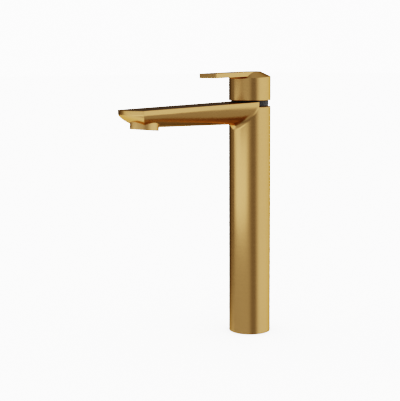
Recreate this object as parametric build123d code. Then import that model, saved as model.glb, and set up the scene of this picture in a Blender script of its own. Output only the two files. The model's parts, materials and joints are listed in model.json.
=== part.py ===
from build123d import *
import os
from math import cos, radians, sin, sqrt

# Tall single-lever basin mixer. Millimetres, +Z up, spout along +X.
# The origin is on the column's axis, in the plane of the deck it stands on.

# ---- Helpers -----------------------------------------------------------------------------
over = 1.0                   # cutting solids reach this far past the faces they cut
around = 40.0                # half width of cutting solids that span the whole column
near = 0.02                  # tolerance when edges are picked by their place
seat_gap = 0.05              # radial play of pieces seated in each other
small_break = 0.5            # chamfer on the edges of the small inner pieces

# ---- Column and spout ------------------------------------------------------------------
column_r = 24.0              # outside of the column and of the handle's cap
column_bore_r = 21.0
column_top = 262.3           # rim of the column behind the spout
rim_round = 1.2
foot_break = 0.5

top_slope = 0.0267           # the spout's top and the lever's top fall by this much per mm
spout_top = 267.9            # height of the spout's top plane on the column's axis
spout_corner_x = 170.4       # where the nose's side corners are
nose_bulge = 3.9             # how far the nose bows out between its corners
nose_rake = 27.3             # how far its face leans back between chin and keel
nose_depth = 15.0
nose_drop = 3.9
root_half_width = 23.15
tip_half_width = 22.8
keel_root = 26.2             # depth of the spout's section on the column's axis
keel_mid = 20.4              # the same depth just behind the outlet
keel_mid_x = 137.0
side_root = 2.5              # upright part of the section's sides
side_tip = 4.6
flank_root = 9.5             # how far the section's flanks go straight down before they turn
flank_tip = 6.6
belly_root = 0.62            # 0 is a pointed keel, 1 a flat one
belly_tip = 0.0
shoulder_x = 7.0             # the raised part of the spout ends here
shoulder_bore_r = 21.8
spout_edge = 0.5             # rounding of the spout's top edges
junction_round = 6.5
junction_x = 5.0             # the rounding between column and spout starts here

# ---- Outlet -----------------------------------------------------------------------------
outlet_x = 153.0
outlet_z = 241.85            # middle of the outlet collar's lower rim
outlet_tilt = 5.0            # degrees, the stream leaves a little forwards
outlet_r = 15.5
outlet_top = 14.0            # the collar runs this far up into the spout
aerator_thread_r = 11.5      # M24 x 1 female thread, at its crests
aerator_depth = 11.0
collar_round = 0.6
ring_recess = 1.0            # the aerator sits this far inside the collar's rim
ring_lip = 1.2               # the ring's inner lip, as wide as it is thick
coin_slot_width = 4.0
coin_slot_depth = 1.0
mesh_r = 9.6
insert_top = 6.0
cell_pitch = 2.6
cell_r = 1.15
cell_rows = 7
cell_margin = 2.2            # no cell has its middle nearer to the insert's edge
screen_rise = 1.8
screen_sheet = 0.4
screen_hole_r = 0.6
screen_rings = 3             # rings of holes, the middle one included
washer_height = 1.4
washer_bore_r = 8.6
chamber_r = 8.5
chamber_depth = 15.0

# ---- Waterway in the casting -------------------------------------------------------------
rise_r = 4.5                 # passage from the column up into the spout
rise_start = (19.0, 246.0)
rise_end = (46.0, 254.0)
channel_r = 5.5
channel_overlap = 3.0        # the channel starts this far inside the rising passage

# ---- Handle -----------------------------------------------------------------------------
pivot_z = 266.0              # the lever's pivot, also the centre of the dome
cap_bottom = 269.0
cap_bore_r = 22.2
cap_ceiling = 290.5
cap_edge = 0.5
crown_rim = 295.3            # where the cap's side ends, on the axis
crown_tilt = 0.055           # the crown's rim falls by this much per mm towards the lever
crown_proud = 0.05           # the cone starts just outside the cap's side
lever_top = 301.9            # top plane of lever and crown, on the axis
lever_thickness = 5.5
lever_length = 64.5
lever_width = 28.5
lever_root_x = 3.0           # centre of the lever's round back end
lever_corner = 1.2
lever_edge = 0.4
socket = 7.1                 # square socket for the stem
boss_r = 7.5
boss_bottom = 279.5
socket_top = 288.6
screw_z = 285.5
screw_r = 2.5
screw_length = 3.6
key_width = 2.5
key_depth = 1.8
plug_r = 3.0
plug_length = 1.6
plug_sink = 0.1              # the plug's face lies this far below the cap's side

# ---- Dome, nut and valve ----------------------------------------------------------------
dome_r = 21.5
dome_wall = 1.5
dome_mouth_r = 13.0
nut_bottom = 255.0
nut_top = column_top
nut_bore_r = 14.4
nut_notch_width = 3.0
nut_notch_depth = 2.5
casing_r = 17.5
casing_bore_r = 15.9
casing_shoulder = 257.6
casing_plate = 3.0
window_width = 12.0          # the mixed water leaves the casing through this window
window_height = 5.0
window_sill = 1.0            # height of its lower edge above the fixed disc
neck_r = 14.0
neck_top = 264.0
hub_r = 10.0
hub_play = 0.1
hub_top = 272.0
flange_r = 15.3
flange_bottom = 250.6
flange_top = 254.2
slot_length = 15.0
slot_width = 6.6
pin_r = 1.5
pin_length = 18.0
pin_play = 0.05
pin_fit = 0.005              # the pin is a push fit in the turret
stem_side = 7.0
stem_eye_width = 6.0
stem_eye_r = 4.0
stem_arm_r = 2.2
ball_r = 2.6
ball_z = 248.0
ball_socket_r = 3.0
ball_float = 0.4             # room under the ball
stem_neck_z = 273.8
stem_top = 288.5
hub_seal_z = 260.5

seat_z = 233.0               # top of the valve block, where the cartridge stands
base_top = 237.0
fixed_disc_r = 14.5
fixed_disc_top = 241.0
disc_film = 0.02             # water film between the two ceramic discs
moving_disc_r = 11.0
moving_disc_top = 244.5
carrier_top = 250.0
port_ring = 7.5              # the ports lie this far from the cartridge's axis
port_r = 3.2
port_seal_width = 1.2
port_seal_height = 1.5
mixing_depth = 2.0

# ---- Valve block and foot ---------------------------------------------------------------
block_bottom = 200.0
block_r = column_bore_r - seat_gap
inlet_y = 9.0
inlet_r = 4.5                # M10 x 1 female thread, at its crests
inlet_depth = 12.0
groove_z = 207.0
oring_r = 1.1
oring_seat = 0.9             # how far the O-ring's middle lies inside the block's side
way_out_depth = 8.0          # floor of the mixed water's way out, below the block's top
relief_r = 18.0              # the block's top is turned down to this radius
relief_depth = 10.0
lock_ring_bottom = 192.0
lock_ring_bore_r = 15.0
lock_notch_width = 4.0
lock_notch_depth = 3.0
foot_bottom = 0.0
foot_top = 14.0
stud_x = 15.3
stud_r = 3.4                 # M8 female thread, at its crests
hose_slot_length = 34.0
hose_slot_width = 19.0
foot_seal_r = 23.0
foot_seal_width = 1.5
foot_seal_height = 1.2


def tube(outer_r, inner_r, bottom, top):
    """Round ring about the Z axis."""
    height = top - bottom
    ring = Cylinder(outer_r, height) - Cylinder(inner_r, height)
    return Pos(0, 0, (bottom + top) / 2) * ring


def rod(radius, bottom, top, x=0.0, y=0.0):
    """Round bar parallel to Z."""
    return Pos(x, y, (bottom + top) / 2) * Cylinder(radius, top - bottom)


def block(x0, x1, y0, y1, z0, z1):
    """Upright box between two corners."""
    centre = Pos((x0 + x1) / 2, (y0 + y1) / 2, (z0 + z1) / 2)
    return centre * Box(x1 - x0, y1 - y0, z1 - z0)


def cross_rod(radius, x0, x1, z):
    """Round bar parallel to X."""
    return Pos((x0 + x1) / 2, 0, z) * Rot(0, 90, 0) * Cylinder(radius, x1 - x0)


def straight_bore(radius, start, end):
    """Round bar in the XZ plane from one (x, z) point to another."""
    path = Line((start[0], 0, start[1]), (end[0], 0, end[1]))
    profile = Plane(origin=path @ 0, z_dir=path % 0) * Circle(radius)
    return extrude(profile, path.length)


def o_ring(major_r, minor_r, z):
    return Pos(0, 0, z) * Torus(major_r, minor_r)


def below_top(x, depth):
    """Height of a point this far below the spout's sloping top."""
    return spout_top - top_slope * x - depth


# ---- Spout and column --------------------------------------------------------------------
def spout_section(x, half, side, keel, flank, belly):
    """Section across the spout: flat top, upright sides, one smooth curve for the keel."""
    top, low, bottom = below_top(x, 0), below_top(x, side), below_top(x, keel)
    hip = low - flank
    pull = (16 * bottom - low - 5 * hip) / 10            # makes the curve reach the keel
    return make_face([
        Line((x, -half, top), (x, half, top)),
        Line((x, half, top), (x, half, low)),
        Bezier((x, half, low), (x, half, hip), (x, half * belly, pull),
               (x, -half * belly, pull), (x, -half, hip), (x, -half, low)),
        Line((x, -half, low), (x, -half, top)),
    ])


def spout_bar():
    """The bar before its nose is shaped: a full round root, a flatter tip."""
    slope = (root_half_width - tip_half_width) / spout_corner_x
    end_x = spout_corner_x + 2 * nose_bulge
    end_keel = keel_mid + (keel_mid - keel_root) / keel_mid_x * (end_x - keel_mid_x)
    root = spout_section(0, root_half_width, side_root, keel_root, flank_root, belly_root)
    mid = spout_section(keel_mid_x, root_half_width - slope * keel_mid_x,
                        side_tip, keel_mid, flank_tip, belly_tip)
    end = spout_section(end_x, root_half_width - slope * end_x,
                        side_tip, end_keel, flank_tip, belly_tip)
    return loft([root, mid], ruled=True) + loft([mid, end], ruled=True)


def nose_space():
    """All that lies behind the nose: a bowed plan outline that rakes back below the chin."""
    x, half = spout_corner_x, tip_half_width
    outline = make_face([
        ThreePointArc((x, half), (x + nose_bulge, 0), (x, -half)),
        Polyline((x, -half), (half, -around), (-around, -around), (-around, around),
                 (half, around), (x, half)),
    ])
    chin = below_top(spout_corner_x, side_tip)
    rake = Bezier((0, 0, chin), (0, 0, chin - nose_drop), (-nose_rake / 2, 0, chin - nose_depth),
                  (-nose_rake, 0, chin - nose_depth))
    space = extrude(Pos(0, 0, chin) * outline, spout_top - chin)
    space += sweep(Pos(0, 0, chin) * outline, path=rake, normal=(0, 0, 1))
    return space + extrude(Pos(rake @ 1) * outline, -column_r)


def softened(bar):
    """Rounds the edges of the spout's top."""
    edges = [edge for edge in bar.edges() if (edge @ 0.5).X > near
             and all((edge @ t).Z > below_top((edge @ t).X, near) for t in (0, 0.5, 1))]
    return fillet(edges, spout_edge)


def at_outlet(shape):
    """Places a shape built about the outlet's own axis, its rim at z = 0."""
    return Pos(outlet_x, 0, outlet_z) * Rot(0, -outlet_tilt, 0) * shape


def on_column(edge):
    """Whether an edge lies on the column's outside, between the keel and the rim."""
    points = [edge @ t for t in (0, 0.25, 0.5, 0.75, 1)]
    return all(abs(sqrt(p.X ** 2 + p.Y ** 2) - column_r) < near
               and below_top(0, keel_root + junction_round) < p.Z < column_top + near
               and p.X > junction_x for p in points)


def spout_body():
    """Column and spout in one casting, with its bores."""
    column = rod(column_r, 0, column_top)
    rounded = fillet(column.edges().group_by(Axis.Z)[-1], rim_round)
    rim_waste = tube(column_r + over, column_r - rim_round,
                     column_top - rim_round, column_top + over)
    rim_waste -= rounded
    column = chamfer(column.edges().group_by(Axis.Z)[0], foot_break)
    bar = softened(spout_bar() & nose_space())
    behind_shoulder = block(-around, shoulder_x, -around, around, column_top, spout_top + around)
    body = column + (bar - behind_shoulder)
    body = fillet([edge for edge in body.edges() if on_column(edge)], junction_round)
    body -= rim_waste & block(-around, shoulder_x, -around, around, 0, spout_top)
    collar = at_outlet(rod(outlet_r, 0, outlet_top))
    collar_edges = collar.edges().filter_by(GeomType.CIRCLE).sort_by(Axis.Z)
    body += fillet(collar_edges[0], collar_round)
    body -= rod(column_bore_r, -over, column_top + over)
    body -= rod(shoulder_bore_r, column_top, spout_top + over)
    body -= straight_bore(rise_r, rise_start, rise_end)
    channel_start = (rise_end[0] - channel_overlap, rise_end[1])
    body -= straight_bore(channel_r, channel_start, (outlet_x, rise_end[1]))
    body -= at_outlet(rod(aerator_thread_r, -over, aerator_depth))
    body -= at_outlet(rod(chamber_r, 0, chamber_depth))
    return body - tube(foot_seal_r, foot_seal_r - foot_seal_width, -over, foot_seal_height)


# ---- Foot of the column ------------------------------------------------------------------
def foot_insert():
    """Threaded plug in the column's foot: two stud holes and a slot for the hoses."""
    plug = rod(block_r, foot_bottom, foot_top)
    for x in (stud_x, -stud_x):
        plug -= rod(stud_r, foot_bottom - over, foot_top + over, x)
    slot = extrude(SlotOverall(hose_slot_length, hose_slot_width, rotation=90), foot_top + over)
    return plug - slot


def foot_seal():
    """Square rubber ring, flush with the column's foot."""
    return tube(foot_seal_r - seat_gap, foot_seal_r - foot_seal_width + seat_gap,
                0, foot_seal_height - seat_gap)


# ---- Valve block -------------------------------------------------------------------------
def valve_block():
    """Brass block under the cartridge: two inlets from below, one way out to the side."""
    brass = rod(block_r, block_bottom, seat_z)
    for y in (inlet_y, -inlet_y):
        brass -= rod(inlet_r, block_bottom - over, block_bottom + inlet_depth, 0, y)
        brass -= rod(port_r, block_bottom, seat_z + over, 0, y)
    way_out = seat_z - way_out_depth
    brass -= rod(port_r, way_out, seat_z + over, port_ring)
    brass -= cross_rod(port_r, port_ring, block_r + over, way_out + port_r)
    brass -= tube(block_r + over, relief_r, seat_z - relief_depth, seat_z + over)
    return brass - o_ring(block_r - oring_seat, oring_r + seat_gap, groove_z)


def block_seal():
    return o_ring(block_r - oring_seat, oring_r, groove_z) & rod(block_r, 0, seat_z)


def lock_ring():
    """Threaded ring that holds the valve block up against its shoulder."""
    ring = tube(block_r, lock_ring_bore_r, lock_ring_bottom, block_bottom)
    for angle in (0, 90, 180, 270):
        notch = block(lock_ring_bore_r - over, lock_ring_bore_r + lock_notch_depth,
                      -lock_notch_width / 2, lock_notch_width / 2,
                      lock_ring_bottom - over, lock_ring_bottom + lock_notch_depth)
        ring -= Rot(0, 0, angle) * notch
    return ring


# ---- Cartridge ---------------------------------------------------------------------------
def ports():
    """The three water ways through the cartridge's base and its fixed disc."""
    low, high = seat_z - over, fixed_disc_top + over
    ways = rod(port_r, low, high, port_ring)
    for y in (inlet_y, -inlet_y):
        ways += rod(port_r, low, high, 0, y)
    return ways


def port_seals():
    """Rubber rings round the three ports, let into the base's underside."""
    rings = []
    for x, y in ((port_ring, 0), (0, inlet_y), (0, -inlet_y)):
        ring = Cylinder(port_r + port_seal_width, port_seal_height)
        ring -= Cylinder(port_r + seat_gap, port_seal_height + over)
        rings.append(Pos(x, y, seat_z + port_seal_height / 2) * ring)
    return rings


def cartridge_base():
    base = rod(casing_bore_r - seat_gap, seat_z, base_top) - ports()
    for x, y in ((port_ring, 0), (0, inlet_y), (0, -inlet_y)):
        base -= rod(port_r + port_seal_width + seat_gap, seat_z - over,
                    seat_z + port_seal_height + seat_gap, x, y)
    return base


def fixed_disc():
    return rod(fixed_disc_r, base_top, fixed_disc_top) - ports()


def moving_disc():
    """Upper ceramic disc, with the hollow on its underside that joins the ports."""
    disc = rod(moving_disc_r, fixed_disc_top + disc_film, moving_disc_top)
    hollow = extrude(SlotOverall(2 * port_ring, 2 * port_r), mixing_depth)
    return disc - Pos(0, 0, fixed_disc_top + disc_film) * hollow


def disc_carrier():
    """Plastic driver on the moving disc, with a socket for the stem's ball."""
    carrier = rod(moving_disc_r, moving_disc_top, carrier_top)
    carrier = chamfer(carrier.edges().group_by(Axis.Z)[-1], small_break)
    return carrier - rod(ball_socket_r, ball_z - ball_r - ball_float, carrier_top + over)


def cartridge_casing():
    """Plastic casing: wide barrel, shoulder under the nut, narrow neck."""
    under_plate = casing_shoulder - casing_plate
    casing = tube(casing_r, casing_bore_r, seat_z, under_plate)
    casing += tube(casing_r, hub_r + hub_play, under_plate, casing_shoulder)
    casing += tube(neck_r, hub_r + hub_play, casing_shoulder, neck_top)
    sill = fixed_disc_top + window_sill
    return casing - block(hub_r, casing_r + over, -window_width / 2, window_width / 2,
                          sill, sill + window_height)


def turret():
    """Turning guide: flange inside the casing, hub through its neck, slot for the stem."""
    guide = rod(flange_r, flange_bottom, flange_top) + rod(hub_r, flange_top, hub_top)
    guide = chamfer(guide.edges().group_by(Axis.Z)[-1], small_break)
    guide -= block(-slot_length / 2, slot_length / 2, -slot_width / 2, slot_width / 2,
                   flange_bottom - over, hub_top + over)
    guide -= pivot_rod(pin_r + pin_fit, 3 * hub_r)
    return guide - o_ring(hub_r, oring_r + seat_gap, hub_seal_z)


def turret_seal():
    return o_ring(hub_r, oring_r, hub_seal_z) & rod(hub_r + hub_play / 2, 0, hub_top)


def pivot_rod(radius, length):
    """Round bar on the lever's pivot axis, parallel to Y."""
    return Pos(0, 0, pivot_z) * Rot(90, 0, 0) * Cylinder(radius, length)


def pivot_pin():
    return pivot_rod(pin_r, pin_length)


def lever_stem():
    """Steel stem: square head, flat eye on the pivot pin, arm and ball below."""
    half = stem_side / 2
    head = block(-half, half, -half, half, stem_neck_z, stem_top)
    head = chamfer(head.edges().group_by(Axis.Z)[-1], small_break)
    eye = pivot_rod(stem_eye_r, stem_eye_width)
    neck = block(-half, half, -stem_eye_width / 2, stem_eye_width / 2, pivot_z, stem_neck_z)
    arm = rod(stem_arm_r, ball_z, pivot_z)
    ball = Pos(0, 0, ball_z) * Sphere(ball_r)
    stem = head + eye + neck + arm + ball
    return stem - pivot_rod(pin_r + pin_play, stem_side + over)


def casing_seal():
    """O-ring round the casing that closes the water chamber under the nut."""
    middle = (casing_r + column_bore_r) / 2
    squeeze = (column_bore_r - casing_r) / 2 - seat_gap
    return o_ring(middle, squeeze, nut_bottom - squeeze - seat_gap)


def retaining_nut():
    """Brass nut that clamps the casing, with notches for its spanner."""
    nut = tube(block_r, casing_r + seat_gap, nut_bottom, casing_shoulder)
    nut += tube(block_r, nut_bore_r, casing_shoulder, nut_top)
    for angle in range(0, 360, 60):
        notch = block(nut_bore_r - over, nut_bore_r + nut_notch_depth,
                      -nut_notch_width / 2, nut_notch_width / 2,
                      nut_top - nut_notch_depth, nut_top + over)
        nut -= Rot(0, 0, angle + 30) * notch
    return nut


def dome_collar():
    """Black plastic dome between column and handle, a zone of a sphere on the pivot."""
    centre = Pos(0, 0, pivot_z)
    shell = centre * Sphere(dome_r) - centre * Sphere(dome_r - dome_wall)
    shell &= rod(dome_r + over, nut_top, pivot_z + dome_r)
    return shell - rod(dome_mouth_r, pivot_z, pivot_z + dome_r)


# ---- Handle ------------------------------------------------------------------------------
def leaning(height, fall):
    """Plane through the axis at this height, falling this much per mm towards the spout."""
    return Plane(origin=(0, 0, height), x_dir=(1, 0, -fall), z_dir=(fall, 0, 1))


def crown():
    """Oblique cone from the cap's round side to the round back end of the lever."""
    rim = leaning(crown_rim, crown_tilt) * Circle(column_r + crown_proud)
    top = leaning(lever_top, top_slope) * Pos(lever_root_x, 0) * Circle(lever_width / 2)
    cone = loft([rim, top], ruled=True)
    under = leaning(crown_rim, crown_tilt) * Pos(0, 0, -column_r) * Cylinder(
        2 * column_r, 2 * column_r)
    side = rod(column_r, cap_bottom, lever_top + over)
    side = chamfer(side.edges().group_by(Axis.Z)[0], cap_edge)
    cap = (side & under) + (cone & side)
    whole_turns = [edge for edge in cap.edges() if edge.length > 6 * column_r
                   and (edge @ 0.5).Z > cap_ceiling]
    return fillet(whole_turns, lever_edge)


def blade():
    """Flat lever, square at its end."""
    plan = Pos((lever_root_x + lever_length) / 2, 0) * Rectangle(
        lever_length - lever_root_x, lever_width)
    plan = fillet(plan.vertices().group_by(Axis.X)[-1], lever_corner)
    slab = extrude(leaning(lever_top, top_slope) * plan, -lever_thickness)
    return fillet(slab.faces().sort_by(Axis.Z)[0].edges(), lever_edge)


def handle():
    """Cap, crown and lever in one casting, with the stem's socket and the screw's hole."""
    grip = crown() + blade()
    grip -= rod(cap_bore_r, cap_bottom - over, cap_ceiling)
    grip += rod(boss_r, boss_bottom, cap_ceiling + over)
    half = socket / 2
    grip -= block(-half, half, -half, half, boss_bottom - over, socket_top)
    grip -= cross_rod(screw_r, -boss_r - over, 0, screw_z)
    return grip - cross_rod(plug_r + seat_gap, -column_r - over, -cap_bore_r + over, screw_z)


def handle_screw():
    """Grub screw with a hexagon socket, pressed against the stem."""
    tip = -stem_side / 2 - seat_gap
    screw = cross_rod(screw_r - seat_gap, tip - screw_length, tip, screw_z)
    key = extrude(RegularPolygon(key_width / sqrt(3), 6), key_depth)
    return screw - Pos(tip - screw_length, 0, screw_z) * Rot(0, 90, 0) * key


def screw_plug():
    """Small round plug over the screw's hole in the back of the cap."""
    plug = cross_rod(plug_r, -column_r, plug_length - column_r, screw_z)
    return plug & rod(column_r - plug_sink, 0, cap_ceiling)


# ---- Aerator -----------------------------------------------------------------------------
def aerator_ring():
    """Threaded sleeve of the aerator, with coin slots in its lower rim."""
    ring = rod(aerator_thread_r - seat_gap, ring_recess, aerator_depth - washer_height)
    ring -= rod(mesh_r + seat_gap, ring_recess + ring_lip, aerator_depth)
    ring -= rod(mesh_r - ring_lip, 0, aerator_depth)
    for angle in (0, 180):
        notch = block(0, aerator_thread_r + over, -coin_slot_width / 2, coin_slot_width / 2,
                      0, ring_recess + coin_slot_depth)
        ring -= Rot(0, 0, angle) * notch
    return at_outlet(ring)


def aerator_insert():
    """Plastic honeycomb that breaks up the stream."""
    insert = rod(mesh_r, ring_recess + ring_lip, insert_top)
    cells = [loc * extrude(RegularPolygon(cell_r, 6, rotation=30), insert_top + over)
             for loc in HexLocations(cell_pitch / sqrt(3), cell_rows, cell_rows)
             if Vector(loc.position.X, loc.position.Y, 0).length < mesh_r - cell_margin]
    return at_outlet(insert - Part(children=cells))


def aerator_screen():
    """Domed steel screen on top of the insert."""
    cap_r = (mesh_r ** 2 + screen_rise ** 2) / (2 * screen_rise)
    centre = Pos(0, 0, insert_top + screen_rise - cap_r)
    shell = centre * Sphere(cap_r) - centre * Sphere(cap_r - screen_sheet)
    shell &= rod(mesh_r - seat_gap, insert_top, insert_top + screen_rise + over)
    for ring in range(screen_rings):
        count = max(6 * ring, 1)
        for index in range(count):
            angle = radians(360 / count * index)
            x, y = ring * cell_pitch * cos(angle), ring * cell_pitch * sin(angle)
            shell -= rod(screen_hole_r, insert_top - over, insert_top + screen_rise + over, x, y)
    return at_outlet(shell)


def aerator_washer():
    top = aerator_depth
    return at_outlet(tube(aerator_thread_r - seat_gap, washer_bore_r, top - washer_height, top))


os.makedirs("parts", exist_ok=True)
nodes = (spout_body, foot_insert, foot_seal, valve_block, block_seal, lock_ring, port_seals,
         cartridge_base, fixed_disc, moving_disc, disc_carrier, cartridge_casing, turret,
         turret_seal, pivot_pin, lever_stem, casing_seal, retaining_nut, dome_collar, handle,
         handle_screw, screw_plug, aerator_ring, aerator_insert, aerator_screen, aerator_washer)
for make in nodes:
    shape = make()
    if isinstance(shape, list):
        shape = Compound(children=shape)
    export_step(shape, f"parts/{make.__name__}.step")
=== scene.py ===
import json
import math

import bpy
from mathutils import Matrix, Vector


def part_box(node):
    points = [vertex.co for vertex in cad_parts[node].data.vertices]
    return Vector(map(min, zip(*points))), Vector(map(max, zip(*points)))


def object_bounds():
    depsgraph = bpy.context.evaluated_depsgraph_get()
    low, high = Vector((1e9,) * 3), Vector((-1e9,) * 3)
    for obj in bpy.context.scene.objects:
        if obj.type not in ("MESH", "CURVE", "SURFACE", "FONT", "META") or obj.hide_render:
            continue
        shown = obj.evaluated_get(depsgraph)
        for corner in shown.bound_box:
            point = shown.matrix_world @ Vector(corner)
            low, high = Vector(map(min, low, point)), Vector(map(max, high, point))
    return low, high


# Looks for a tall single-lever basin mixer in brushed gold.
# Metres, +Z up, the spout points along +X and the origin is on the column's axis at the deck.

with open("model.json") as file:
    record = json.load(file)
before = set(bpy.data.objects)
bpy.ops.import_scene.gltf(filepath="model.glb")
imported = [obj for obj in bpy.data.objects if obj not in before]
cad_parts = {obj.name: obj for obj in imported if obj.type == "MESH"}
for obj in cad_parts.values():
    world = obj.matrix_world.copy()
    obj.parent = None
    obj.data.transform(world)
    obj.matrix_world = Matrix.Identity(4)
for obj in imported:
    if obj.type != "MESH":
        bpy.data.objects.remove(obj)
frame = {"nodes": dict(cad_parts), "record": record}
cad_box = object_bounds()
nodes = frame["nodes"]

# ---- Places read from the frame --------------------------------------------------------------
COLUMN_R = -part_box("spout_body")[0].x
outlet_low, outlet_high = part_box("aerator_ring")
OUTLET = (outlet_low + outlet_high) / 2
COLLAR_REACH = 0.009             # the collar lies within this height of the aerator's middle
COLLAR_R = 0.0163                # and within this distance of its axis
COLLAR_BLEND = 0.001             # its upper end fades in over this height

# ---- Camera ----------------------------------------------------------------------------------
CAMERA_PLACE = (0.8075, 0.8509, 0.3128)
CAMERA_AZIMUTH = 139.89          # degrees, 0 looks along +Y
CAMERA_TILT = 6.851              # degrees below the horizon
CAMERA_ROLL = -0.34
CAMERA_LENS = 91.47
CAMERA_SHIFT = (0.0257, -0.04)
CAMERA_CLIP = (0.01, 100.0)

# ---- Studio ----------------------------------------------------------------------------------
# Each panel of light is a patch of the sky round the object: centre and half width of its
# bearing in degrees (0 is +X, 90 is +Y), its lowest and highest elevation, how soft its edges
# are in bearing and in elevation, and its strength.
PANELS = (
    (50.0, 135.0, -91.0, 91.0, 30.0, 1.0, 0.25),       # dim walls all round but behind
    (4.0, 56.0, -80.0, 32.0, 44.0, 16.0, 0.46),        # wall ahead of the spout
    (-88.0, 48.0, -60.0, -15.0, 30.0, 4.0, 0.98),      # low sheet on the spout's far side
    (146.0, 60.0, -26.0, 34.0, 44.0, 28.0, 0.92),      # large panel beside the column
    (138.0, 58.0, -62.0, 0.0, 30.0, 16.0, 0.39),       # its glow below
    (222.0, 50.0, -70.0, -40.0, 30.0, 10.0, 0.24),     # low wall behind
    (0.0, 181.0, 32.0, 91.0, 1.0, 22.0, 0.42),         # ceiling
)
STUDIO_DARK = 0.10
BACKDROP = 5.0
# Sheets of light near the object: middle of the sheet, the bearing it faces, its width and the
# width of its soft sides, its lowest and highest point and how soft these are, its radiance.
SHEETS = (
    ((0.43, 0.0), 180.0, 1.0, 0.34, 0.035, 0.222, 0.03, 1.10),
    ((0.37, -0.15), 150.0, 0.36, 0.06, 0.200, 0.262, 0.012, 1.05),
)
FLOOR_SIZE = 40.0
FLOOR_GAP = 0.0002               # the floor lies this far below the foot
FLOOR_COLOUR = (0.86, 0.86, 0.85)
TOP_LIGHT = 15.0
TOP_LIGHT_ANGLE = 120.0


class Shader:
    """Short way to add nodes to a material's or a world's tree and to link them."""

    def __init__(self, tree):
        self.tree = tree
        tree.nodes.clear()

    def add(self, kind, links=None, **settings):
        """A node, with its properties set and with {input name or number: value or socket}."""
        node = self.tree.nodes.new(kind)
        for name, value in settings.items():
            setattr(node, name, value)
        for key, value in (links or {}).items():
            if isinstance(value, bpy.types.NodeSocket):
                self.tree.links.new(value, node.inputs[key])
            else:
                node.inputs[key].default_value = value
        return node

    def math(self, operation, a, b=0.0, c=0.0):
        return self.add("ShaderNodeMath", {0: a, 1: b, 2: c}, operation=operation).outputs[0]

    def ramp(self, value, low, high, to_low=0.0, to_high=1.0, kind="SMOOTHSTEP"):
        node = self.add("ShaderNodeMapRange", {"Value": value, "From Min": low, "From Max": high,
                        "To Min": to_low, "To Max": to_high}, interpolation_type=kind)
        return node.outputs["Result"]

    def mix(self, share, a, b):
        node = self.add("ShaderNodeMix", {"Factor": share}, data_type="RGBA")
        for socket, value in ((node.inputs[6], a), (node.inputs[7], b)):
            if isinstance(value, bpy.types.NodeSocket):
                self.tree.links.new(value, socket)
            else:
                socket.default_value = (*value, 1.0)
        return node.outputs[2]


def aim(obj, azimuth, tilt, roll=0.0):
    """Turns a camera or a lamp to look along this compass direction, tilted down."""
    a, t = math.radians(azimuth), math.radians(tilt)
    ahead = Vector((-math.sin(a) * math.cos(t), math.cos(a) * math.cos(t), -math.sin(t)))
    turn = ahead.to_track_quat("-Z", "Y").to_matrix()
    obj.rotation_euler = (turn @ Matrix.Rotation(math.radians(roll), 3, "Z")).to_euler()


def make_camera():
    data = bpy.data.cameras.new("camera")
    data.lens = CAMERA_LENS
    data.shift_x, data.shift_y = CAMERA_SHIFT
    data.clip_start, data.clip_end = CAMERA_CLIP
    camera = bpy.data.objects.new("camera", data)
    camera.location = CAMERA_PLACE
    aim(camera, CAMERA_AZIMUTH, CAMERA_TILT, CAMERA_ROLL)
    bpy.context.scene.collection.objects.link(camera)
    bpy.context.scene.camera = camera


def panel_strength(shader, bearing, elevation, panel):
    centre, half_width, low, high, side_soft, end_soft, strength = panel
    off = shader.math("SUBTRACT", bearing, centre)
    off = shader.math("WRAP", off, 180.0, -180.0)
    off = shader.math("ABSOLUTE", off)
    across = shader.ramp(off, half_width - side_soft / 2, half_width + side_soft / 2, 1.0, 0.0)
    above = shader.ramp(elevation, low - end_soft / 2, low + end_soft / 2)
    below = shader.ramp(elevation, high - end_soft / 2, high + end_soft / 2, 1.0, 0.0)
    share = shader.math("MULTIPLY", shader.math("MULTIPLY", above, below), across)
    return shader.math("MULTIPLY", share, strength)


def make_world():
    """White backdrop for the camera, soft panels of light with dark gaps for the rest."""
    world = bpy.data.worlds.new("studio")
    bpy.context.scene.world = world
    world.use_nodes = True
    shader = Shader(world.node_tree)
    direction = shader.add("ShaderNodeTexCoord").outputs["Generated"]
    parts = shader.add("ShaderNodeSeparateXYZ", {0: direction}).outputs
    degrees = 180.0 / math.pi
    bearing = shader.math("MULTIPLY", shader.math("ARCTAN2", parts["Y"], parts["X"]), degrees)
    elevation = shader.math("MULTIPLY", shader.math("ARCSINE", parts["Z"]), degrees)
    light = STUDIO_DARK
    for panel in PANELS:
        light = shader.math("MAXIMUM", light, panel_strength(shader, bearing, elevation, panel))
    seen = shader.add("ShaderNodeLightPath").outputs["Is Camera Ray"]
    strength = shader.add("ShaderNodeMix", {"Factor": seen, "A": light, "B": BACKDROP})
    background = shader.add("ShaderNodeBackground", {"Color": (1.0, 1.0, 1.0, 1.0),
                            "Strength": strength.outputs["Result"]})
    shader.add("ShaderNodeOutputWorld", {"Surface": background.outputs[0]})


def make_top_light():
    """One wide soft lamp from above that whitens the floor and isn't mirrored in the metal."""
    data = bpy.data.lights.new("top_light", "SUN")
    data.energy = TOP_LIGHT
    data.angle = math.radians(TOP_LIGHT_ANGLE)
    lamp = bpy.data.objects.new("top_light", data)
    lamp.visible_glossy = False
    bpy.context.scene.collection.objects.link(lamp)


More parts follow.
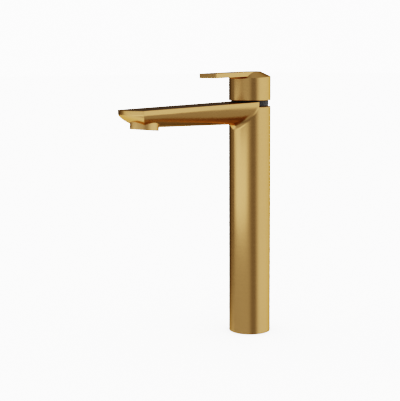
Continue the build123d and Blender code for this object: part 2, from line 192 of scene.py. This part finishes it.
def make_sheet(index, place, bearing, width, side_soft, low, high, end_soft, radiance):
    """An upright sheet of light, soft at its edges and seen only as a reflection."""
    name = f"light_sheet_{index}"
    half = width / 2
    mesh = bpy.data.meshes.new(name)
    mesh.from_pydata([(0, -half, low), (0, half, low), (0, half, high), (0, -half, high)],
                     [], [(0, 1, 2, 3)])
    sheet = bpy.data.objects.new(name, mesh)
    bpy.context.scene.collection.objects.link(sheet)
    sheet.location = (*place, 0.0)
    sheet.rotation_euler.z = math.radians(bearing)
    sheet.visible_camera = sheet.visible_diffuse = sheet.visible_shadow = False
    material, shader = new_material(name)
    parts = split_place(shader)[1]
    off = shader.math("ABSOLUTE", parts["Y"])
    share = shader.ramp(off, half - side_soft, half, 1.0, 0.0)
    for edge, inward in ((low, end_soft), (high, -end_soft)):
        share = shader.math("MULTIPLY", share, shader.ramp(parts["Z"], edge, edge + inward))
    glow = shader.add("ShaderNodeEmission", {"Color": (1.0, 1.0, 1.0, 1.0),
                      "Strength": radiance})
    clear = shader.add("ShaderNodeBsdfTransparent")
    mixed = shader.add("ShaderNodeMixShader", {0: share, 1: clear.outputs[0], 2: glow.outputs[0]})
    shader.add("ShaderNodeOutputMaterial", {"Surface": mixed.outputs[0]})
    mesh.materials.append(material)


def make_floor():
    mesh = bpy.data.meshes.new("floor")
    half = FLOOR_SIZE / 2
    mesh.from_pydata([(-half, -half, 0), (half, -half, 0), (half, half, 0), (-half, half, 0)],
                     [], [(0, 1, 2, 3)])
    floor = bpy.data.objects.new("floor", mesh)
    bpy.context.scene.collection.objects.link(floor)
    floor.location.z = cad_box[0].z - FLOOR_GAP
    floor.visible_glossy = False
    material = bpy.data.materials.new("floor")
    material.use_nodes = True
    shader = Shader(material.node_tree)
    surface = shader.add("ShaderNodeBsdfDiffuse", {"Color": (*FLOOR_COLOUR, 1.0)})
    shader.add("ShaderNodeOutputMaterial", {"Surface": surface.outputs[0]})
    mesh.materials.append(material)


# ---- Materials -------------------------------------------------------------------------------
GOLD = (0.60, 0.387, 0.180)
GOLD_WORN = (0.70, 0.49, 0.25)
GOLD_GRAZING = (0.72, 0.56, 0.38)
GOLD_COLLAR = (0.67, 0.44, 0.215)
GOLD_ROUGHNESS = 0.22
COLLAR_ROUGHNESS = 0.38
GOLD_VARIATION = 0.07            # the colour goes up and down by this share from line to line
GOLD_LINE_SPREAD = 0.03          # the roughness by this much from line to line
GOLD_CLOUD_SPREAD = 0.012        # and by this much from place to place
GOLD_WEAR = 0.4                  # share of the worn colour on edges
GOLD_POLISH = 0.05               # edges are smoother by this much
# Noise is in repeats per metre of each axis. Turned lines run round the column's axis, in repeats
# per radian, per metre of radius and per metre of height.
GOLD_TURNED = (1.2, 60.0, 2600.0)
GOLD_DRAWN = (14.0, 1600.0, 1600.0)
GOLD_CLOUD = (28.0, 28.0, 28.0)
DRAWN_FROM, DRAWN_TO = 0.0002, 0.006    # turned lines give way to drawn ones outside the column
BRASS_STAINED = (0.60, 0.42, 0.17)
BRASS_CLEAN = (0.74, 0.55, 0.27)
BRASS_EDGE = (0.85, 0.70, 0.42)
BRASS_ROUGHNESS = (0.24, 0.38)
BRASS_TURNED = (1.5, 2400.0, 2400.0)
BRASS_STAIN = (60.0, 60.0, 60.0)
STEEL_DARK = (0.52, 0.52, 0.53)
STEEL_LIGHT = (0.66, 0.66, 0.66)
STEEL_EDGE = (0.80, 0.80, 0.80)
STEEL_ROUGHNESS = (0.26, 0.40)
STEEL_DRAWN = (2500.0, 2500.0, 60.0)
METAL_WEAR = 0.5                 # share of the edge colour on the edges of brass and steel
# Moulded pieces: dark and light colour, lowest and highest roughness, grain and its depth.
MOULDED = {
    "black_plastic": ((0.008, 0.007, 0.007), (0.013, 0.012, 0.011), (0.42, 0.52),
                      1500.0, 0.00003),
    "cartridge_plastic": ((0.62, 0.61, 0.56), (0.72, 0.71, 0.66), (0.38, 0.50),
                          1800.0, 0.00002),
    "aerator_plastic": ((0.66, 0.66, 0.64), (0.76, 0.76, 0.74), (0.36, 0.46),
                        1800.0, 0.00002),
    "ceramic": ((0.80, 0.79, 0.75), (0.88, 0.87, 0.83), (0.12, 0.22), 2500.0, 0.00001),
    "rubber": ((0.018, 0.018, 0.018), (0.030, 0.030, 0.030), (0.60, 0.75), 1200.0, 0.00004),
}
MOULDED_CLOUD = (80.0, 80.0, 80.0)
MOULDED_EDGE = 1.5               # the edges' colour, against the light one
MOULDED_WEAR = 0.35
# Bump: its strength and its depth in metres.
GOLD_BUMP = (0.02, 0.00002)
BRASS_BUMP = (0.12, 0.00003)
STEEL_BUMP = (0.08, 0.00002)
MOULDED_BUMP_STRENGTH = 0.25
# Noise is read between these two of its levels.
LINE_LEVELS = (0.25, 0.75)
CLOUD_LEVELS = (0.3, 0.7)
CLOUD_DETAIL, LINE_DETAIL, STAIN_DETAIL = 2.0, 3.0, 4.0
NOISE_ROUGHNESS = 0.6
EDGE_RADIUS = 0.0006
EDGE_SAMPLES = 6
EDGE_TURN = (0.995, 0.86)        # cosines of the turn where an edge starts and where it is full


def shade(colour, factor):
    return [min(channel * factor, 1.0) for channel in colour]


def new_material(name):
    material = bpy.data.materials.new(name)
    material.use_nodes = True
    return material, Shader(material.node_tree)


def split_place(shader):
    """A point's place in the object's own frame, whole and as X, Y and Z."""
    place = shader.add("ShaderNodeTexCoord").outputs["Object"]
    return place, shader.add("ShaderNodeSeparateXYZ", {0: place}).outputs


def finish_surface(shader, **inputs):
    names = {key.replace("_", " "): value for key, value in inputs.items()}
    surface = shader.add("ShaderNodeBsdfPrincipled", names)
    shader.add("ShaderNodeOutputMaterial", {"Surface": surface.outputs[0]})


def edge_mask(shader):
    """Where the surface turns sharply: 0 on flats, towards 1 on edges."""
    rounded = shader.add("ShaderNodeBevel", {"Radius": EDGE_RADIUS}, samples=EDGE_SAMPLES)
    normal = shader.add("ShaderNodeNewGeometry").outputs["Normal"]
    turn = shader.add("ShaderNodeVectorMath", {0: rounded.outputs[0], 1: normal},
                      operation="DOT_PRODUCT").outputs["Value"]
    return shader.ramp(turn, *EDGE_TURN)


def softened_normal(shader, height, strength, depth):
    """Bump over slightly rounded edges."""
    rounded = shader.add("ShaderNodeBevel", {"Radius": EDGE_RADIUS / 2}, samples=EDGE_SAMPLES)
    bump = shader.add("ShaderNodeBump", {"Strength": strength, "Distance": depth,
                      "Height": height, "Normal": rounded.outputs[0]})
    return bump.outputs[0]


def noise(shader, place, stretch, detail=CLOUD_DETAIL):
    """Noise with its own number of repeats along each axis of place."""
    scaled = shader.add("ShaderNodeVectorMath", {0: place, 1: stretch},
                        operation="MULTIPLY").outputs[0]
    made = shader.add("ShaderNodeTexNoise", {"Vector": scaled, "Scale": 1.0, "Detail": detail,
                      "Roughness": NOISE_ROUGHNESS})
    return made.outputs["Fac"]


def round_the_axis(shader, parts):
    """Angle, radius and height about the column's axis, and the radius by itself."""
    radius = shader.math("SQRT", shader.math("ADD", shader.math("POWER", parts["X"], 2.0),
                                             shader.math("POWER", parts["Y"], 2.0)))
    angle = shader.math("ARCTAN2", parts["Y"], parts["X"])
    place = shader.add("ShaderNodeCombineXYZ", {0: angle, 1: radius, 2: parts["Z"]})
    return place.outputs[0], radius


def on_collar(shader, parts):
    """1 on the outlet's collar, 0 elsewhere, blended at its upper end."""
    x = shader.math("SUBTRACT", parts["X"], OUTLET.x)
    across = shader.math("SQRT", shader.math("ADD", shader.math("MULTIPLY", x, x),
                                             shader.math("MULTIPLY", parts["Y"], parts["Y"])))
    within = shader.math("LESS_THAN", across, COLLAR_R)
    top = OUTLET.z + COLLAR_REACH
    return shader.math("MULTIPLY", within, shader.ramp(parts["Z"], top, top - COLLAR_BLEND))


def brushed_gold():
    """Satin gold. It is brushed round the column and the cap, and along spout and lever."""
    material, shader = new_material("brushed_gold")
    place, parts = split_place(shader)
    turned_place, radius = round_the_axis(shader, parts)
    turned = noise(shader, turned_place, GOLD_TURNED, LINE_DETAIL)
    drawn = noise(shader, place, GOLD_DRAWN, LINE_DETAIL)
    beyond = shader.ramp(radius, COLUMN_R + DRAWN_FROM, COLUMN_R + DRAWN_TO)
    lines = shader.add("ShaderNodeMix", {"Factor": beyond, "A": turned, "B": drawn})
    lines = lines.outputs["Result"]
    cloud = noise(shader, place, GOLD_CLOUD)
    worn = edge_mask(shader)
    collar = on_collar(shader, parts)
    base = shader.mix(lines, shade(GOLD, 1 - GOLD_VARIATION), shade(GOLD, 1 + GOLD_VARIATION))
    base = shader.mix(shader.math("MULTIPLY", worn, GOLD_WEAR), base, GOLD_WORN)
    base = shader.mix(collar, base, GOLD_COLLAR)
    rough = shader.ramp(lines, *LINE_LEVELS, GOLD_ROUGHNESS - GOLD_LINE_SPREAD,
                        GOLD_ROUGHNESS + GOLD_LINE_SPREAD, "LINEAR")
    rough = shader.math("ADD", rough, shader.ramp(cloud, *CLOUD_LEVELS, -GOLD_CLOUD_SPREAD,
                                                  GOLD_CLOUD_SPREAD, "LINEAR"))
    rough = shader.math("MAXIMUM", rough, shader.math("MULTIPLY", COLLAR_ROUGHNESS, collar))
    rough = shader.math("SUBTRACT", rough, shader.math("MULTIPLY", worn, GOLD_POLISH))
    finish_surface(shader, Base_Color=base, Metallic=1.0, Roughness=rough,
                   Specular_Tint=(*GOLD_GRAZING, 1.0),
                   Normal=softened_normal(shader, lines, *GOLD_BUMP))
    return material


def worn_metal(shader, base, edge_colour, marks, roughness, bump):
    """Bare metal whose marks set its roughness and bump, with paler edges."""
    base = shader.mix(shader.math("MULTIPLY", edge_mask(shader), METAL_WEAR), base, edge_colour)
    rough = shader.ramp(marks, *LINE_LEVELS, *roughness, "LINEAR")
    finish_surface(shader, Base_Color=base, Metallic=1.0, Roughness=rough,
                   Normal=softened_normal(shader, marks, *bump))


def turned_brass():
    """Unplated brass as it leaves the lathe, with feed marks round the axis."""
    material, shader = new_material("turned_brass")
    place, parts = split_place(shader)
    marks = noise(shader, round_the_axis(shader, parts)[0], BRASS_TURNED, LINE_DETAIL)
    base = shader.mix(noise(shader, place, BRASS_STAIN, STAIN_DETAIL), BRASS_STAINED, BRASS_CLEAN)
    worn_metal(shader, base, BRASS_EDGE, marks, BRASS_ROUGHNESS, BRASS_BUMP)
    return material


def steel():
    """Stainless steel with fine drawn lines."""
    material, shader = new_material("steel")
    marks = noise(shader, split_place(shader)[0], STEEL_DRAWN, LINE_DETAIL)
    base = shader.mix(marks, STEEL_DARK, STEEL_LIGHT)
    worn_metal(shader, base, STEEL_EDGE, marks, STEEL_ROUGHNESS, STEEL_BUMP)
    return material


def moulded(name, dark, light, roughness, grain, depth):
    """Moulded plastic, rubber or ceramic: fine grain and slightly paler edges."""
    material, shader = new_material(name)
    place = split_place(shader)[0]
    skin = noise(shader, place, (grain, grain, grain), LINE_DETAIL)
    base = shader.mix(noise(shader, place, MOULDED_CLOUD), dark, light)
    edge = shader.math("MULTIPLY", edge_mask(shader), MOULDED_WEAR)
    base = shader.mix(edge, base, shade(light, MOULDED_EDGE))
    rough = shader.ramp(skin, *CLOUD_LEVELS, *roughness, "LINEAR")
    finish_surface(shader, Base_Color=base, Roughness=rough,
                   Normal=softened_normal(shader, skin, MOULDED_BUMP_STRENGTH, depth))
    return material


def dress(slot_materials):
    """Gives each CAD node the material made for its slot in the record."""
    for part in frame["record"]["subparts"]:
        mesh = nodes[part["node"]].data
        material = slot_materials[part["material_slot"]]
        if not mesh.materials:
            mesh.materials.append(material)
        for index in range(len(mesh.materials)):
            mesh.materials[index] = material


make_camera()
make_world()
make_top_light()
for number, sheet_values in enumerate(SHEETS):
    make_sheet(number, *sheet_values)
make_floor()
view = bpy.context.scene.view_settings
view.view_transform = "Filmic"
view.look = "Very High Contrast"
gold = brushed_gold()
dress({
    "brushed_gold": gold,
    "aerator_metal": gold,
    "raw_brass": turned_brass(),
    "steel": steel(),
    **{name: moulded(name, *values) for name, values in MOULDED.items()},
})
